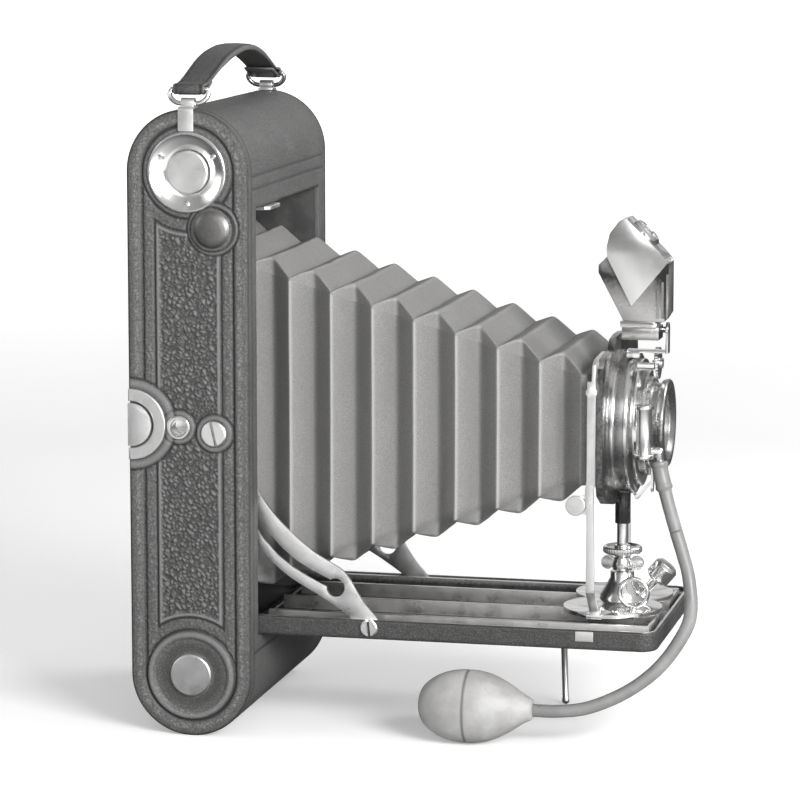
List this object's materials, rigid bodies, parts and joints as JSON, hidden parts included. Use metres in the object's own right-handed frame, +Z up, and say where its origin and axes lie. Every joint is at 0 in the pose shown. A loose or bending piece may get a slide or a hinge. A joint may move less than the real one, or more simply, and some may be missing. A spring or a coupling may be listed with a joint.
{
  "type": "folding roll-film camera",
  "caption": "Folding roll-film camera standing on end with its bed open, pleated bellows drawn out, reversible finder and a rubber bulb release.",
  "frame": {"origin": "on the ground under the middle of the whole camera as it stands opened, midway between the body's two end faces", "axes": "+Z up along the body's long side, -Y the way the lens looks, -X out of the end face that holds the tripod bush"},
  "size_m": [0.1274, 0.2152, 0.261],
  "materials": {
    "body_leather": "coarse grained black leather",
    "aluminium": "blackened sheet under the leather",
    "black_lacquer": "semi-gloss black",
    "nickel": "polished nickel plate",
    "spring_steel": "plain",
    "spool_wood": "turned wood",
    "ruby_glass": "dark ruby",
    "optical_glass": "polished",
    "bellows_leather": "fine smooth pleated leather",
    "grey_rubber": "smooth matt rubber"
  },
  "bodies": {
    "root": {"body_shell": "aluminium", "body_leather": "body_leather", "back_cover": "aluminium", "back_leather": "body_leather", "red_window": "ruby_glass", "end_plate_left": "aluminium", "end_plate_right": "aluminium", "end_leather_left": "body_leather", "end_leather_right": "body_leather", "inner_frame": "black_lacquer", "film_gate": "black_lacquer", "pressure_plate": "spring_steel", "top_bezel": "nickel", "back_catch_ring": "nickel", "tripod_bush": "nickel", "strap_lugs": "nickel", "strap": "body_leather", "bed": "aluminium", "bed_leather": "body_leather", "bed_hinge_pin": "nickel", "bed_rails": "black_lacquer", "bed_catches": "nickel", "strut_left": "nickel", "strut_right": "nickel", "slotted_screws": "nickel", "leg_bracket": "nickel", "bellows": "bellows_leather", "hose": "grey_rubber", "bulb": "grey_rubber"},
    "roller_top": {"guide_roller_top": "black_lacquer"},
    "roller_bottom": {"guide_roller_bottom": "black_lacquer"},
    "supply": {"supply_spool": "spool_wood"},
    "take_up": {"take_up_spool": "spool_wood", "winding_key": "nickel"},
    "pin_top": {"spool_pin_top": "nickel"},
    "pin_bottom": {"spool_pin_bottom": "nickel"},
    "button": {"door_button": "black_lacquer"},
    "catch": {"back_catch": "nickel"},
    "loop_left": {"strap_loop_left": "nickel"},
    "loop_right": {"strap_loop_right": "nickel"},
    "leg": {"support_leg": "nickel"},
    "standard": {"carriage": "nickel", "u_frame": "nickel"},
    "clamp": {"clamp_knob": "nickel"},
    "knob_left": {"side_knob_left": "nickel"},
    "knob_right": {"side_knob_right": "nickel"},
    "lock_nut": {"wing_nut": "nickel"},
    "nut": {"rise_nut": "nickel"},
    "front": {"lens_board": "black_lacquer", "rise_rod": "nickel", "shutter_case": "black_lacquer", "shutter_fittings": "nickel", "lens_barrel": "black_lacquer", "lens_glass": "optical_glass", "iris": "black_lacquer"},
    "pointer": {"aperture_pointer": "nickel"},
    "dial": {"speed_dial": "nickel"},
    "release": {"release_lever": "nickel"},
    "finder": {"finder_body": "black_lacquer", "finder_hood": "nickel"}
  },
  "joints": [
    {"name": "standard_slide", "type": "slide", "parent": "root", "child": "standard", "axis": [0, 1, 0], "range_m": [0, 0.13], "deforming": ["bellows", "hose"]},
    {"name": "front_drop", "type": "slide", "parent": "standard", "child": "front", "axis": [0, 0, -1], "range_m": [-0.008, 0.004]},
    {"name": "nut_turn", "type": "hinge", "parent": "standard", "child": "nut", "pos_m": [0, -0.07352, 0.068], "axis": [0, 0, 1], "range_deg": [-730, 370]},
    {"name": "lock_nut_turn", "type": "hinge", "parent": "standard", "child": "lock_nut", "pos_m": [0, -0.07352, 0.063], "axis": [0, 0, 1], "range_deg": [-60, 60]},
    {"name": "clamp_turn", "type": "hinge", "parent": "standard", "child": "clamp", "pos_m": [0, -0.08272, 0.0525], "axis": [0, -0.6392, 0.769], "range_deg": [-40, 40]},
    {"name": "knob_left_turn", "type": "hinge", "parent": "standard", "child": "knob_left", "pos_m": [-0.0427, -0.06242, 0.0927], "axis": [1, 0, 0], "range_deg": [-45, 45]},
    {"name": "knob_right_turn", "type": "hinge", "parent": "standard", "child": "knob_right", "pos_m": [0.0427, -0.06242, 0.0927], "axis": [1, 0, 0], "range_deg": [-45, 45]},
    {"name": "aperture_set", "type": "hinge", "parent": "front", "child": "pointer", "pos_m": [0, -0.08502, 0.1188], "axis": [0, 1, 0], "range_deg": [-20, 20]},
    {"name": "speed_set", "type": "hinge", "parent": "front", "child": "dial", "pos_m": [0, -0.08662, 0.142], "axis": [0, 1, 0], "range_deg": [-150, 150]},
    {"name": "release_press", "type": "hinge", "parent": "front", "child": "release", "pos_m": [0, -0.08202, 0.1188], "axis": [0, 1, 0], "range_deg": [-12, 0], "stiffness_Nm_per_rad": 0.02, "springref_deg": 2.86},
    {"name": "finder_turn", "type": "hinge", "parent": "front", "child": "finder", "pos_m": [-0.008, -0.08922, 0.156], "axis": [0, 1, 0], "range_deg": [-90, 0]},
    {"name": "winding", "type": "hinge", "parent": "root", "child": "take_up", "pos_m": [0, 0.08378, 0.2172], "axis": [1, 0, 0], "continuous": true},
    {"name": "supply_spin", "type": "hinge", "parent": "root", "child": "supply", "pos_m": [0, 0.08378, 0.0238], "axis": [1, 0, 0], "continuous": true},
    {"name": "roller_top_spin", "type": "hinge", "parent": "root", "child": "roller_top", "pos_m": [0, 0.09828, 0.2068], "axis": [1, 0, 0], "continuous": true},
    {"name": "roller_bottom_spin", "type": "hinge", "parent": "root", "child": "roller_bottom", "pos_m": [0, 0.09828, 0.0342], "axis": [1, 0, 0], "continuous": true},
    {"name": "pin_top_pull", "type": "slide", "parent": "root", "child": "pin_top", "axis": [-1, 0, 0], "range_m": [0, 0.006]},
    {"name": "pin_bottom_pull", "type": "slide", "parent": "root", "child": "pin_bottom", "axis": [-1, 0, 0], "range_m": [0, 0.006]},
    {"name": "door_button_press", "type": "slide", "parent": "root", "child": "button", "axis": [1, 0, 0], "range_m": [0, 0.001], "stiffness_N_per_m": 400, "springref_m": -0.0005},
    {"name": "back_catch_press", "type": "slide", "parent": "root", "child": "catch", "axis": [1, 0, 0], "range_m": [0, 0.001], "stiffness_N_per_m": 400, "springref_m": -0.0005},
    {"name": "loop_left_swing", "type": "hinge", "parent": "root", "child": "loop_left", "pos_m": [-0.057, 0.08378, 0.24305], "axis": [0, 1, 0], "range_deg": [-25, 10], "deforming": ["strap"]},
    {"name": "loop_right_swing", "type": "hinge", "parent": "root", "child": "loop_right", "pos_m": [0.057, 0.08378, 0.24305], "axis": [0, 1, 0], "range_deg": [-10, 25], "deforming": ["strap"]},
    {"name": "leg_fold", "type": "hinge", "parent": "root", "child": "leg", "pos_m": [0.024, -0.04602, 0.0354], "axis": [1, 0, 0], "range_deg": [0, 90]}
  ],
  "couplings": [
    {"joint": "nut_turn", "follows": "front_drop", "rad_per_m": 1570.8}
  ]
}
